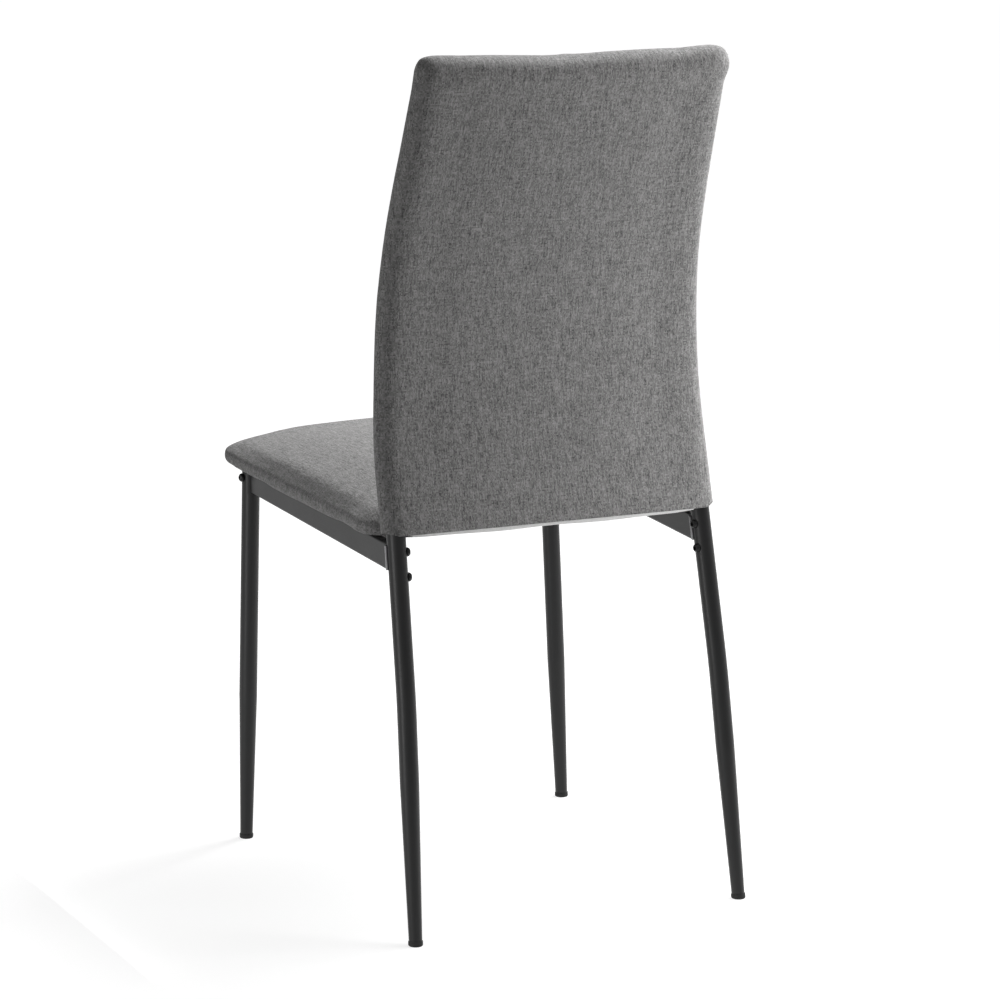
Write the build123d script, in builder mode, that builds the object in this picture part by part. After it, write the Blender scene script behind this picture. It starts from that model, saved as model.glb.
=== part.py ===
"""Upholstered dining chair: tapered steel tube legs, two side rails and a padded seat and back."""

import os
from math import atan2, cos, degrees, radians, sin, tan

from build123d import *

# Sizes are in millimetres and angles in degrees.
# The chair faces -Y, the sitter's left hand is on +X and the floor is Z = 0.

# Overall height, to the top edge of the back
overall_height = 905.0

# Tapered leg tubes
leg_d = 20.0
leg_wall = 1.4
foot_d = 14.0
taper_length = 160.0

# Where the front legs stand, inside the seat's width, and how they lean on the way up
front_foot_inset = 7.2
front_foot_y = -198.3
front_splay = 2.06
front_rake = 1.23

# Where the rear legs stand, inside the seat's width, and how they lean below and above their bend
rear_foot_inset = 0.0
rear_foot_y = 242.2
rear_splay = 1.75
rear_rake_low = 8.47
rear_rake_high = 12.0
rear_bend_z = 249.0
rear_bend_radius = 700.0
leg_into_cover = 20.0

# Plastic glides under the legs
glide_height = 5.0
glide_lip = 0.7
glide_plug_length = 20.0
glide_edge = 1.5

# Flat side rails of rectangular tube, with a curved saddle at each end
rail_width = 12.0
rail_height = 28.0
rail_wall = 1.5
rail_corner = 2.5
rail_front_z = 410.2
rail_rear_z = 390.0
saddle_thickness = 2.4
saddle_margin = 1.5
saddle_wrap_front = 46.0
saddle_wrap_rear = 74.0

# Cross rail between the front legs, with a tapped block in each end
cross_rail_height = 22.0
cross_rail_width = 12.0
cross_rail_drop = 1.0
nut_block_length = 24.0

# Button-head bolts
bolt_d = 6.0
bolt_head_d = 9.6
bolt_head_height = 3.4
bolt_socket = 4.0
bolt_socket_depth = 1.7
bolt_rim = 0.8
bolt_shoulder_d = 8.4
bolt_shoulder = 2.2
bolt_crest_d = 6.0
bolt_hole_clearance = 0.6
bolt_engagement = 19.0
rear_bolt_pitch = 25.0
rear_bolt_below_rail_centre = 5.75
rear_bolt_turn = 14.0

# Angle tabs on the rails and the screws that hold the seat
tab_length = 30.0
tab_reach = 26.0
tab_depth = 20.0
tab_thickness = 3.0
tab_places = (80.0, 235.0)
screw_d = 4.8
screw_head_d = 10.0
screw_head_height = 2.6
screw_head_chamfer = 0.8
screw_bite = 10.0

# Seat: plywood board, foam, fabric cover and an underside cloth
seat_width_front = 412.0
seat_width_rear = 378.0
seat_front_overhang = 39.0
seat_side_bow = 5.0
seat_front_bow = 5.0
seat_corner = 32.0
seat_height = 46.0
seat_crown_radius = 2200.0
seat_top_round = 20.0
seat_bottom_round = 8.0
seat_board_thickness = 12.0
seat_board_inset = 10.0
seat_hem_inset = 32.0
dust_cloth_thickness = 0.6
dust_cloth_inset = 15.0
seat_back_gap = 2.0

# Back: padded sleeve over a tube frame, a little wider than the seat's rear
back_side_overhang = 1.5
back_width_top = 342.0
back_thickness = 43.0
back_edge_thickness = 38.0
back_side_bulge = 15.0
back_top_round = 15.0
back_recline = 22.5
back_bend_z = 645.0
back_bend_radius = 500.0
back_above_rail = 7.0
back_sections = 12
pad_ahead_of_frame = 4.0

# Fabric, and the foam under it
fabric_thickness = 1.2
foam_foot = 8.0

# Frame inside the back
upright_d = 16.0
upright_wall = 1.5
upright_side_margin = 13.2
upright_above_leg = 6.0
stub_length = 72.0
upright_top_margin = 20.0
bar_d = 16.0
bar_wall = 1.5
top_bar_below_upright = 14.0
lower_bar_above_bottom = 32.0
cap_flange = 2.0
cap_plug_length = 12.0
slug_length = 50.0
slug_hole_extra = 4.0
belt_width = 30.0
belt_thickness = 1.2
belt_places = (0.24, 0.42, 0.60, 0.78)

# Woven tape that closes the sleeve between the rear legs
tape_drop = 3.2
tape_rise = 3.0
tape_leg_gap = 1.5
tape_corner = 3.0

# Gaps between pieces that touch
weld_gap = 0.1
slip_gap = 0.25
cloth_gap = 0.3

# Halvings that find a point of a bent tube by its height
search_steps = 40

front_foot_x = seat_width_front / 2 - front_foot_inset
rear_foot_x = seat_width_rear / 2 - rear_foot_inset
back_width_bottom = seat_width_rear + 2 * back_side_overhang
leg_r = leg_d / 2
leg_bore = leg_r - leg_wall
saddle_outer = leg_r + weld_gap + saddle_thickness
bolt_hole_d = bolt_d + bolt_hole_clearance
sides = {"left": 1, "right": -1}


def point_at_height(start, direction, z):
    """Point of a line, given by a point and a direction, at height z."""
    return start + direction * ((z - start.Z) / direction.Z)


def axial_plane(origin, direction):
    """Plane through an axis, with the axis along its local Y."""
    across = Vector(0, 1, 0).cross(direction).normalized()
    return Plane(origin, x_dir=across, z_dir=across.cross(direction))


def square_plane(origin, direction, towards):
    """Plane square to an axis, its local X turned to a direction."""
    normal = direction.normalized()
    x_dir = (towards - normal * towards.dot(normal)).normalized()
    return Plane(origin, x_dir=x_dir, z_dir=normal)


# Leg axes
front_foot = {}
front_dir = {}
rear_foot = {}
rear_dir_low = {}
rear_dir_high = {}
rear_bend = {}
for side, sign in sides.items():
    front_foot[side] = Vector(sign * front_foot_x, front_foot_y, 0)
    front_dir[side] = Vector(-sign * tan(radians(front_splay)), -tan(radians(front_rake)), 1).normalized()
    rear_foot[side] = Vector(sign * rear_foot_x, rear_foot_y, 0)
    inward = -sign * tan(radians(rear_splay))
    rear_dir_low[side] = Vector(inward, -tan(radians(rear_rake_low)), 1).normalized()
    rear_dir_high[side] = Vector(inward, -tan(radians(rear_rake_high)), 1).normalized()
    rear_bend[side] = point_at_height(rear_foot[side], rear_dir_low[side], rear_bend_z)

# Side rail lines, from the front leg's axis to the rear leg's axis
rail_front = {}
rail_rear = {}
rail_dir = {}
rail_plane = {}
for side in sides:
    rail_front[side] = point_at_height(front_foot[side], front_dir[side], rail_front_z)
    rail_rear[side] = point_at_height(rear_bend[side], rear_dir_high[side], rail_rear_z)
    rail_dir[side] = (rail_rear[side] - rail_front[side]).normalized()
    rail_plane[side] = square_plane(rail_front[side], rail_dir[side], Vector(-1, 0, 0))

# Seat plane, which lies on the tops of both rails
rail_run = rail_rear["left"].Y - rail_front["left"].Y
seat_pitch = degrees(atan2(rail_front_z - rail_rear_z, rail_run))
seat_normal = Vector(0, sin(radians(seat_pitch)), cos(radians(seat_pitch)))
seat_origin = Vector(0, rail_front["left"].Y, rail_front_z) + seat_normal * (rail_height / 2)
seat_plane = Plane(seat_origin, x_dir=(1, 0, 0), z_dir=seat_normal)


def seat_plane_z(y):
    """Height of the seat plane at a place from front to rear."""
    return seat_origin.Z - (y - seat_origin.Y) * tan(radians(seat_pitch))


# Line of the back frame, seen from the side: up the rear legs and back over one bend
back_bottom_z = seat_plane_z(rail_rear["left"].Y) + back_above_rail
stub_bottom_z = rail_rear_z - stub_length / 2
frame_bottom = point_at_height(rear_bend["left"], rear_dir_high["left"], stub_bottom_z)
frame_bend = point_at_height(rear_bend["left"], rear_dir_high["left"], back_bend_z)
frame_rise = overall_height - back_bend_z
frame_top_y = frame_bend.Y + frame_rise * tan(radians(back_recline))

with BuildLine(Plane.YZ) as back_line:
    FilletPolyline(
        (frame_bottom.Y - pad_ahead_of_frame, frame_bottom.Z),
        (frame_bend.Y - pad_ahead_of_frame, frame_bend.Z),
        (frame_top_y - pad_ahead_of_frame, overall_height),
        radius=back_bend_radius,
    )
back_wire = back_line.wire()
back_start = (back_bottom_z - stub_bottom_z) / cos(radians(rear_rake_high))
top_rounding = back_top_round * (1 - cos(radians(back_recline)))
top_front_edge = (back_thickness / 2 - back_top_round) * sin(radians(back_recline))
back_end = back_wire.length - (top_rounding + top_front_edge) / cos(radians(back_recline))
back_length = back_end - back_start


def back_plane(distance):
    """Plane square to the back's line, at a distance along it from its lower end."""
    share = distance / back_wire.length
    return Plane(back_wire.position_at(share), x_dir=(1, 0, 0), z_dir=back_wire.tangent_at(share))


def back_half_width(distance):
    """Half width of the back at a distance along its line."""
    share = (distance - back_start) / back_length
    return (back_width_bottom + (back_width_top - back_width_bottom) * share) / 2


def back_section(half_width, shrink):
    """Section of the padded back: crowned faces joined by bulging sides."""
    edge_x = half_width - back_side_bulge
    edge_y = back_edge_thickness / 2 - shrink
    crown_y = back_thickness / 2 - shrink
    with BuildLine() as outline:
        ThreePointArc((-edge_x, -edge_y), (0, -crown_y), (edge_x, -edge_y))
        ThreePointArc((edge_x, -edge_y), (half_width - shrink, 0), (edge_x, edge_y))
        ThreePointArc((edge_x, edge_y), (0, crown_y), (-edge_x, edge_y))
        ThreePointArc((-edge_x, edge_y), (-half_width + shrink, 0), (-edge_x, -edge_y))
    make_face(outline.edges())


def back_stations(end):
    """Distances along the back's line for its sections, from below the sleeve's mouth to an end."""
    first = back_start - foam_foot
    return [first + (end - first) * step / back_sections for step in range(back_sections + 1)]


def back_pad(shrink, mouth):
    """Padded back drawn in by shrink, with a round top, cut square at a mouth along its line."""
    sections = []
    for distance in back_stations(back_end):
        with BuildSketch(back_plane(distance)) as section:
            back_section(back_half_width(distance), shrink)
        sections.append(section.sketch)
    loft(sections)
    split(bisect_by=back_plane(back_end - shrink), keep=Keep.BOTTOM)
    split(bisect_by=back_plane(mouth), keep=Keep.TOP)
    top_face = faces().sort_by(Axis.Z)[-1]
    fillet(top_face.edges(), back_top_round - shrink)


def tube_ring(outer_d, wall):
    """Section of a round tube."""
    Circle(outer_d / 2)
    Circle(outer_d / 2 - wall, mode=Mode.SUBTRACT)


# Leg tops: the front legs end under the seat, the rear legs inside the back cover
front_leg_top = {}
rear_leg_top = {}
for side in sides:
    tilt = radians(seat_pitch + front_rake)
    front_top_z = seat_plane_z(rail_front[side].Y) - slip_gap - leg_r * tan(tilt)
    front_leg_top[side] = point_at_height(front_foot[side], front_dir[side], front_top_z)
    rear_top_z = back_bottom_z + leg_into_cover
    rear_leg_top[side] = point_at_height(rear_bend[side], rear_dir_high[side], rear_top_z)

# Bolt places: two on the inner face of each rear leg, one on the outer face of each front leg
rear_bolt_planes = {}
front_bolt_plane = {}
cross_rail_end = {}
for side, sign in sides.items():
    turn = radians(rear_bolt_turn)
    inward = Vector(-sign * cos(turn), sin(turn), 0)
    axis = rear_dir_high[side]
    outwards = (inward - axis * inward.dot(axis)).normalized()
    rear_bolt_planes[side] = []
    for rise in (rear_bolt_pitch / 2, -rear_bolt_pitch / 2):
        bolt_z = rail_rear_z - rear_bolt_below_rail_centre + rise
        centre = point_at_height(rear_bend[side], axis, bolt_z)
        rear_bolt_planes[side].append(Plane(centre + outwards * leg_r, z_dir=outwards))
    axis = front_dir[side]
    cross_rail_end[side] = front_leg_top[side] - axis * (cross_rail_drop + cross_rail_height / 2)
    outwards = Vector(sign, 0, 0)
    splay = radians(front_splay)
    head_seat = leg_r / cos(splay) + bolt_head_d / 2 * tan(splay)
    front_bolt_plane[side] = Plane(cross_rail_end[side] + outwards * head_seat, z_dir=outwards)


def bolt_hole(plane, diameter, depth):
    """Round hole along a bolt, from just outside its plane to a depth."""
    with BuildSketch(plane.offset(leg_wall)) as hole:
        Circle(diameter / 2)
    extrude(hole.sketch, amount=-depth - leg_wall, mode=Mode.SUBTRACT)


def add_tapered_foot(base, direction):
    """Tapered lower end of a leg tube."""
    with BuildSketch(axial_plane(base, direction)) as half_section:
        with BuildLine():
            Polyline(
                (foot_d / 2 - leg_wall, 0),
                (foot_d / 2, 0),
                (leg_r, taper_length),
                (leg_bore, taper_length),
                close=True,
            )
        make_face()
    revolve(half_section.sketch, axis=Axis(base, direction))


pieces = {}

# Front legs: straight tubes, tapered towards the foot, with a bolt hole near the top
for side in sides:
    base = point_at_height(front_foot[side], front_dir[side], glide_height)
    taper_top = base + front_dir[side] * taper_length
    with BuildPart() as front_leg:
        add_tapered_foot(base, front_dir[side])
        with BuildSketch(Plane(taper_top, z_dir=front_dir[side])):
            tube_ring(leg_d, leg_wall)
        extrude(amount=(front_leg_top[side] - taper_top).length)
        bolt_hole(front_bolt_plane[side], bolt_hole_d, leg_d + leg_wall)
    pieces[f"front_leg_{side}"] = front_leg.part

# Rear legs: tapered below, then bent forward on the way up into the back
for side in sides:
    base = point_at_height(rear_foot[side], rear_dir_low[side], glide_height)
    taper_top = base + rear_dir_low[side] * taper_length
    with BuildLine() as leg_line:
        FilletPolyline(taper_top, rear_bend[side], rear_leg_top[side], radius=rear_bend_radius)
    with BuildPart() as rear_leg:
        add_tapered_foot(base, rear_dir_low[side])
        with BuildSketch(Plane(taper_top, z_dir=rear_dir_low[side])):
            tube_ring(leg_d, leg_wall)
        sweep(path=leg_line.wire())
        for plane in rear_bolt_planes[side]:
            bolt_hole(plane, bolt_hole_d, leg_r)
    pieces[f"rear_leg_{side}"] = rear_leg.part

# Foot glides: a plug in the tube and a wider lip, cut level with the floor
for side in sides:
    for place, foot, direction in (
        ("front", front_foot[side], front_dir[side]),
        ("rear", rear_foot[side], rear_dir_low[side]),
    ):
        seat = point_at_height(foot, direction, glide_height)
        plug_r = foot_d / 2 - leg_wall - slip_gap
        lip_r = foot_d / 2 + glide_lip
        below = 2 * glide_height
        with BuildPart() as glide:
            with BuildSketch(axial_plane(seat, direction)):
                with BuildLine():
                    Polyline(
                        (0, -below),
                        (lip_r, -below),
                        (lip_r, -weld_gap),
                        (plug_r, -weld_gap),
                        (plug_r, glide_plug_length),
                        (0, glide_plug_length),
                        close=True,
                    )
                make_face()
            revolve(axis=Axis(seat, direction))
            split(bisect_by=Plane.XY, keep=Keep.TOP)
            fillet(faces().sort_by(Axis.Z)[0].edges(), glide_edge)
        pieces[f"foot_glide_{place}_{side}"] = glide.part


clearance_reach = 2 * max(rail_height, cross_rail_height, bar_d)


def cut_cylinder(centre, direction, radius):
    """Cut a round clearance along an axis through the centre."""
    with BuildSketch(Plane(centre, z_dir=direction)) as clearance:
        Circle(radius)
    extrude(clearance.sketch, amount=clearance_reach, both=True, mode=Mode.SUBTRACT)


# Side rails: rectangular tube, its ends cut round to sit against the saddles
for side in sides:
    rail_length = (rail_rear[side] - rail_front[side]).length
    with BuildPart() as rail:
        with BuildSketch(rail_plane[side]):
            RectangleRounded(rail_width, rail_height, rail_corner)
            RectangleRounded(
                rail_width - 2 * rail_wall,
                rail_height - 2 * rail_wall,
                rail_corner - rail_wall / 2,
                mode=Mode.SUBTRACT,
            )
        extrude(amount=rail_length)
        cut_cylinder(rail_front[side], front_dir[side], saddle_outer + weld_gap)
        cut_cylinder(rail_rear[side], rear_dir_high[side], saddle_outer + weld_gap)
    pieces[f"side_rail_{side}"] = rail.part

# Saddles: curved plates between the rail ends and the legs
for side in sides:
    for place, centre, direction, towards, wrap in (
        ("front", rail_front[side], front_dir[side], rail_dir[side], saddle_wrap_front),
        ("rear", rail_rear[side], rear_dir_high[side], -rail_dir[side], saddle_wrap_rear),
    ):
        tilt = saddle_outer * tan(radians(direction.get_angle(seat_normal)))
        upper = rail_height / 2 - tilt - slip_gap
        lower = rail_height / 2 + saddle_margin
        with BuildPart() as saddle:
            with BuildSketch(square_plane(centre - direction * lower, direction, towards)):
                with BuildLine():
                    inner = CenterArc((0, 0), leg_r + weld_gap, -wrap, 2 * wrap)
                    outer = CenterArc((0, 0), saddle_outer, -wrap, 2 * wrap)
                    Line(inner @ 0, outer @ 0)
                    Line(inner @ 1, outer @ 1)
                make_face()
            extrude(amount=lower + upper)
        pieces[f"rail_saddle_{place}_{side}"] = saddle.part

# Front cross rail: rectangular tube between the front legs
cross_span = cross_rail_end["left"].X - cross_rail_end["right"].X
cross_plane = Plane(cross_rail_end["right"], x_dir=(0, 1, 0), z_dir=(1, 0, 0))
with BuildPart() as cross_rail:
    with BuildSketch(cross_plane):
        RectangleRounded(cross_rail_width, cross_rail_height, rail_corner)
        RectangleRounded(
            cross_rail_width - 2 * rail_wall,
            cross_rail_height - 2 * rail_wall,
            rail_corner - rail_wall / 2,
            mode=Mode.SUBTRACT,
        )
    extrude(amount=cross_span)
    for side in sides:
        cut_cylinder(cross_rail_end[side], front_dir[side], leg_r + weld_gap)
pieces["front_cross_rail"] = cross_rail.part

# Tapped blocks welded in the ends of the cross rail, which take the front bolts
block_start = leg_r + weld_gap + rail_wall
with BuildPart() as nut_blocks:
    for side, sign in sides.items():
        block_plane = Plane(
            cross_rail_end[side] - Vector(sign * block_start, 0, 0),
            x_dir=(0, 1, 0),
            z_dir=(-sign, 0, 0),
        )
        with BuildSketch(block_plane):
            Rectangle(
                cross_rail_width - 2 * (rail_wall + weld_gap),
                cross_rail_height - 2 * (rail_wall + rail_corner),
            )
            Circle(bolt_d / 2 + weld_gap, mode=Mode.SUBTRACT)
        extrude(amount=nut_block_length)
pieces["cross_rail_nut_blocks"] = nut_blocks.part


def add_turned(plane, *profile):
    """Turned piece: a half profile of radii and heights, spun about the plane's normal."""
    profile_plane = Plane(plane.origin, x_dir=plane.x_dir, z_dir=plane.x_dir.cross(plane.z_dir))
    with BuildSketch(profile_plane) as half_section:
        with BuildLine():
            Polyline(*profile, close=True)
        make_face()
    revolve(half_section.sketch, axis=Axis(plane.origin, plane.z_dir))


def add_bolt(plane, shank_length):
    """Button-head bolt: its head stands on the plane, with a hexagon socket, and its shank is behind."""
    add_turned(
        plane,
        (0, -shank_length),
        (bolt_d / 2, -shank_length),
        (bolt_d / 2, 0),
        (bolt_head_d / 2, 0),
        (bolt_head_d / 2, bolt_rim),
        (bolt_shoulder_d / 2, bolt_shoulder),
        (bolt_crest_d / 2, bolt_head_height),
        (0, bolt_head_height),
    )
    with BuildSketch(plane.offset(bolt_head_height)) as socket:
        RegularPolygon(bolt_socket / 2, 6, major_radius=False)
    extrude(socket.sketch, amount=-bolt_socket_depth, mode=Mode.SUBTRACT)


# Bolts through the front legs into the cross rail
with BuildPart() as front_bolts:
    for side in sides:
        reach = leg_d + weld_gap + rail_wall + bolt_engagement
        seat_face = front_bolt_plane[side].offset(weld_gap)
        add_bolt(seat_face, reach)
pieces["front_leg_bolts"] = front_bolts.part

# Uprights of the back frame: bent tubes that follow the rear legs inside them and lean in above them
upright_line = {}
upright_end_z = overall_height - upright_top_margin
upright_end_x = back_width_top / 2 - upright_side_margin
upright_lean_z = back_bottom_z + leg_into_cover + upright_above_leg
upright_lean_x = point_at_height(rear_bend["left"], rear_dir_high["left"], upright_lean_z).X
lean_slope = (upright_lean_x - upright_end_x) / (upright_end_z - upright_lean_z)
end_y = frame_bend.Y + (upright_end_z - back_bend_z) * tan(radians(back_recline))
for side, sign in sides.items():
    stub_end = point_at_height(rear_bend[side], rear_dir_high[side], stub_bottom_z)
    lean_start = point_at_height(rear_bend[side], rear_dir_high[side], upright_lean_z)
    bend_x = upright_lean_x - lean_slope * (back_bend_z - upright_lean_z)
    points = [
        stub_end,
        lean_start,
        Vector(sign * bend_x, frame_bend.Y, back_bend_z),
        Vector(sign * upright_end_x, end_y, upright_end_z),
    ]
    with BuildLine() as line:
        FilletPolyline(*points, radius=back_bend_radius)
    upright_line[side] = line.wire()
    with BuildPart() as upright:
        with BuildSketch(Plane(points[0], z_dir=(points[1] - points[0]).normalized())):
            tube_ring(upright_d, upright_wall)
        sweep(path=upright_line[side])
        for plane in rear_bolt_planes[side]:
            bolt_hole(plane, bolt_hole_d, leg_r)
    pieces[f"back_upright_{side}"] = upright.part

# Tapped slugs inside the lower ends of the uprights, which take the rear bolts
with BuildPart() as slugs:
    for side in sides:
        start = upright_line[side].position_at(0)
        along = upright_line[side].tangent_at(0)
        bolts_middle = (rear_bolt_planes[side][0].origin + rear_bolt_planes[side][1].origin) / 2
        middle = point_at_height(start, along, bolts_middle.Z)
        with BuildSketch(Plane(middle, z_dir=along)):
            Circle(upright_d / 2 - upright_wall - weld_gap)
        extrude(amount=slug_length / 2, both=True)
        for plane in rear_bolt_planes[side]:
            bolt_hole(plane, bolt_d + 2 * weld_gap, leg_r + slug_hole_extra)
pieces["upright_slugs"] = slugs.part

# Bolts through the rear legs into the slugs
with BuildPart() as rear_bolts:
    for side in sides:
        for plane in rear_bolt_planes[side]:
            seat_face = plane.offset(weld_gap)
            add_bolt(seat_face, leg_r)
pieces["rear_leg_bolts"] = rear_bolts.part

# Plastic caps in the upper ends of the uprights
with BuildPart() as caps:
    for side in sides:
        tip = upright_line[side].position_at(1)
        along = upright_line[side].tangent_at(1)
        with BuildSketch(Plane(tip + along * weld_gap, z_dir=along)):
            Circle(upright_d / 2)
        extrude(amount=cap_flange)
        with BuildSketch(Plane(tip + along * weld_gap, z_dir=along)):
            Circle(upright_d / 2 - upright_wall - slip_gap)
        extrude(amount=-cap_plug_length)
pieces["upright_caps"] = caps.part


def upright_point(side, z):
    """Point of an upright's axis at a height, found by halving."""
    low = 0.0
    high = 1.0
    for _ in range(search_steps):
        middle = (low + high) / 2
        if upright_line[side].position_at(middle).Z < z:
            low = middle
        else:
            high = middle
    return upright_line[side].position_at(low), upright_line[side].tangent_at(low)


# Cross bars of the back frame, cut round where they meet the uprights
for name, bar_z in (
    ("back_top_bar", upright_end_z - top_bar_below_upright),
    ("back_lower_bar", back_bottom_z + lower_bar_above_bottom),
):
    ends = {side: upright_point(side, bar_z) for side in sides}
    span = (ends["left"][0] - ends["right"][0]).length
    with BuildPart() as bar:
        with BuildSketch(Plane(ends["right"][0], x_dir=(0, 1, 0), z_dir=(1, 0, 0))):
            tube_ring(bar_d, bar_wall)
        extrude(amount=span)
        for centre, along in ends.values():
            cut_cylinder(centre, along, upright_d / 2 + weld_gap)
    pieces[name] = bar.part


def frame_offset(plane):
    """How far the frame lies behind the pad's middle, square to the back at a plane."""
    return pad_ahead_of_frame * plane.y_dir.Y


# Elastic belts: flat loops slipped over both uprights
belt_lean = belt_width / 2 * abs(lean_slope)
belt_inner = upright_d / 2 + slip_gap + belt_lean
for number, place in enumerate(belt_places, start=1):
    plane = back_plane(back_start + back_length * place)
    reach = abs(upright_point("left", plane.origin.Z)[0].X)
    with BuildPart() as belt:
        with BuildSketch(plane):
            with Locations((0, frame_offset(plane))):
                SlotCenterToCenter(2 * reach, 2 * (belt_inner + belt_thickness))
                SlotCenterToCenter(2 * reach, 2 * belt_inner, mode=Mode.SUBTRACT)
        extrude(amount=belt_width / 2, both=True)
    pieces[f"back_belt_{number}"] = belt.part

# Back cover: a fabric sleeve, closed at the top and open at the bottom
with BuildPart() as sleeve_room:
    back_pad(fabric_thickness, back_start - fabric_thickness)
with BuildPart() as back_cover:
    back_pad(0, back_start)
    add(sleeve_room.part, mode=Mode.SUBTRACT)
pieces["back_cover"] = back_cover.part

# Back foam: a wrap that fills the sleeve and leaves a flat pocket for the frame
belt_sag = belt_width**2 / (8 * back_bend_radius)
pocket_r = belt_inner + belt_thickness + belt_sag + slip_gap
pocket_end = back_wire.length - upright_top_margin + cap_flange + 2 * slip_gap
with BuildPart() as frame_pocket:
    pocket_sections = []
    for distance in back_stations(pocket_end):
        plane = back_plane(distance)
        reach = abs(upright_point("left", plane.origin.Z)[0].X) + belt_lean
        with BuildSketch(plane) as pocket_section:
            with Locations((0, frame_offset(plane))):
                SlotCenterToCenter(2 * reach, 2 * pocket_r)
        pocket_sections.append(pocket_section.sketch)
    loft(pocket_sections)
with BuildPart() as back_foam:
    back_pad(fabric_thickness + cloth_gap, back_start + foam_foot)
    add(frame_pocket.part, mode=Mode.SUBTRACT)
    for side in sides:
        with BuildSketch(Plane(rear_leg_top[side], z_dir=rear_dir_high[side]).offset(slip_gap)):
            Circle(leg_r + slip_gap)
        extrude(amount=-2 * leg_into_cover, mode=Mode.SUBTRACT)
pieces["back_foam"] = back_foam.part

# Closing tape: a pale woven strip in the mouth of the sleeve, between the rear legs
mouth_x = abs(point_at_height(rear_bend["left"], rear_dir_high["left"], back_bottom_z).X)
tape_half = mouth_x - leg_r - tape_leg_gap
tape_depth = back_edge_thickness - 2 * (fabric_thickness + cloth_gap)
with BuildPart() as tape:
    with BuildSketch(back_plane(back_start - tape_drop)):
        RectangleRounded(2 * tape_half, tape_depth, tape_corner)
    extrude(amount=tape_drop + tape_rise)
pieces["back_closing_tape"] = tape.part

# Seat rear edge, just ahead of the back's front face at half the seat's height
back_face = back_plane(back_start + seat_height / 2)
back_face_y = back_face.origin.Y - back_thickness / 2 * back_face.y_dir.Y
seat_depth = back_face_y - seat_back_gap - seat_origin.Y + seat_front_overhang


def seat_outline(inset, corner):
    """Plan of the seat, drawn in on every side: wider in front, with bowed sides."""
    half_front = seat_width_front / 2 - inset
    half_rear = seat_width_rear / 2 - inset
    front = inset - seat_front_overhang
    rear = seat_depth - seat_front_overhang - inset
    side_x = (half_front + half_rear) / 2 + seat_side_bow
    with BuildLine() as outline:
        ThreePointArc((-half_front, front), (0, front - seat_front_bow), (half_front, front))
        ThreePointArc((half_front, front), (side_x, (front + rear) / 2), (half_rear, rear))
        Line((half_rear, rear), (-half_rear, rear))
        ThreePointArc((-half_rear, rear), (-side_x, (front + rear) / 2), (-half_front, front))
    make_face(outline.edges())
    fillet(vertices(), corner)


def seat_pad(floor, shrink):
    """Seat drawn in by shrink, standing on a level above its plane: domed top and rounded edges."""
    with BuildSketch(seat_plane.offset(floor + shrink)) as plan:
        seat_outline(shrink, seat_corner - shrink)
    extrude(plan.sketch, amount=seat_height + seat_top_round)
    dome_centre = Vector(0, seat_depth / 2 - seat_front_overhang, floor + seat_height - seat_crown_radius)
    dome = Plane(seat_plane.from_local_coords(dome_centre), x_dir=-seat_normal, z_dir=(1, 0, 0))
    with Locations(dome):
        Sphere(seat_crown_radius - shrink, mode=Mode.INTERSECT)
    upwards = Axis(seat_origin, seat_normal)
    fillet(faces().sort_by(upwards)[-1].edges(), seat_top_round - shrink)
    fillet(faces().sort_by(upwards)[0].edges(), seat_bottom_round - shrink)


# Levels of the seat above its plane
seat_floor = cloth_gap + dust_cloth_thickness
board_floor = seat_floor + fabric_thickness + slip_gap
screw_length = tab_thickness + weld_gap + board_floor + screw_bite

# Angle tabs welded inside the rails, with a screw hole each
screw_planes = []
with BuildPart() as seat_tabs:
    for side, sign in sides.items():
        root_x = sign * (rail_width / 2 + weld_gap)
        tip_x = root_x + sign * tab_reach
        web_x = root_x + sign * tab_thickness
        top = rail_height / 2
        for place in tab_places:
            with BuildSketch(rail_plane[side].offset(place - tab_length / 2)):
                with BuildLine():
                    Polyline(
                        (root_x, top),
                        (tip_x, top),
                        (tip_x, top - tab_thickness),
                        (web_x, top - tab_thickness),
                        (web_x, top - tab_depth),
                        (root_x, top - tab_depth),
                        close=True,
                    )
                make_face()
            extrude(amount=tab_length)
            hole_x = (web_x + tip_x) / 2
            place_plane = rail_plane[side].offset(place)
            hole_top = place_plane.from_local_coords(Vector(hole_x, top, 0))
            hole_plane = Plane(hole_top, z_dir=-place_plane.y_dir)
            with BuildSketch(hole_plane):
                Circle(screw_d / 2 + slip_gap)
            extrude(amount=tab_thickness, mode=Mode.SUBTRACT)
            screw_planes.append(hole_plane.offset(tab_thickness + weld_gap))
pieces["seat_tabs"] = seat_tabs.part

# Screws from the tabs up into the seat board
with BuildPart() as seat_screws:
    for plane in screw_planes:
        add_turned(
            plane,
            (0, -screw_length),
            (screw_d / 2, -screw_length),
            (screw_d / 2, 0),
            (screw_head_d / 2, 0),
            (screw_head_d / 2, screw_head_height - screw_head_chamfer),
            (screw_head_d / 2 - screw_head_chamfer, screw_head_height),
            (0, screw_head_height),
        )
pieces["seat_screws"] = seat_screws.part


def screw_holes(diameter):
    """Holes along the seat screws."""
    for plane in screw_planes:
        with BuildSketch(plane) as hole:
            Circle(diameter / 2)
        extrude(hole.sketch, amount=-screw_length - slip_gap, mode=Mode.SUBTRACT)


# Underside cloth of the seat, held between the board and the rails
with BuildPart() as dust_cloth:
    with BuildSketch(seat_plane.offset(cloth_gap)):
        seat_outline(dust_cloth_inset, seat_corner)
    extrude(amount=dust_cloth_thickness)
    screw_holes(screw_d + 2 * slip_gap)
pieces["seat_dust_cloth"] = dust_cloth.part

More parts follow.
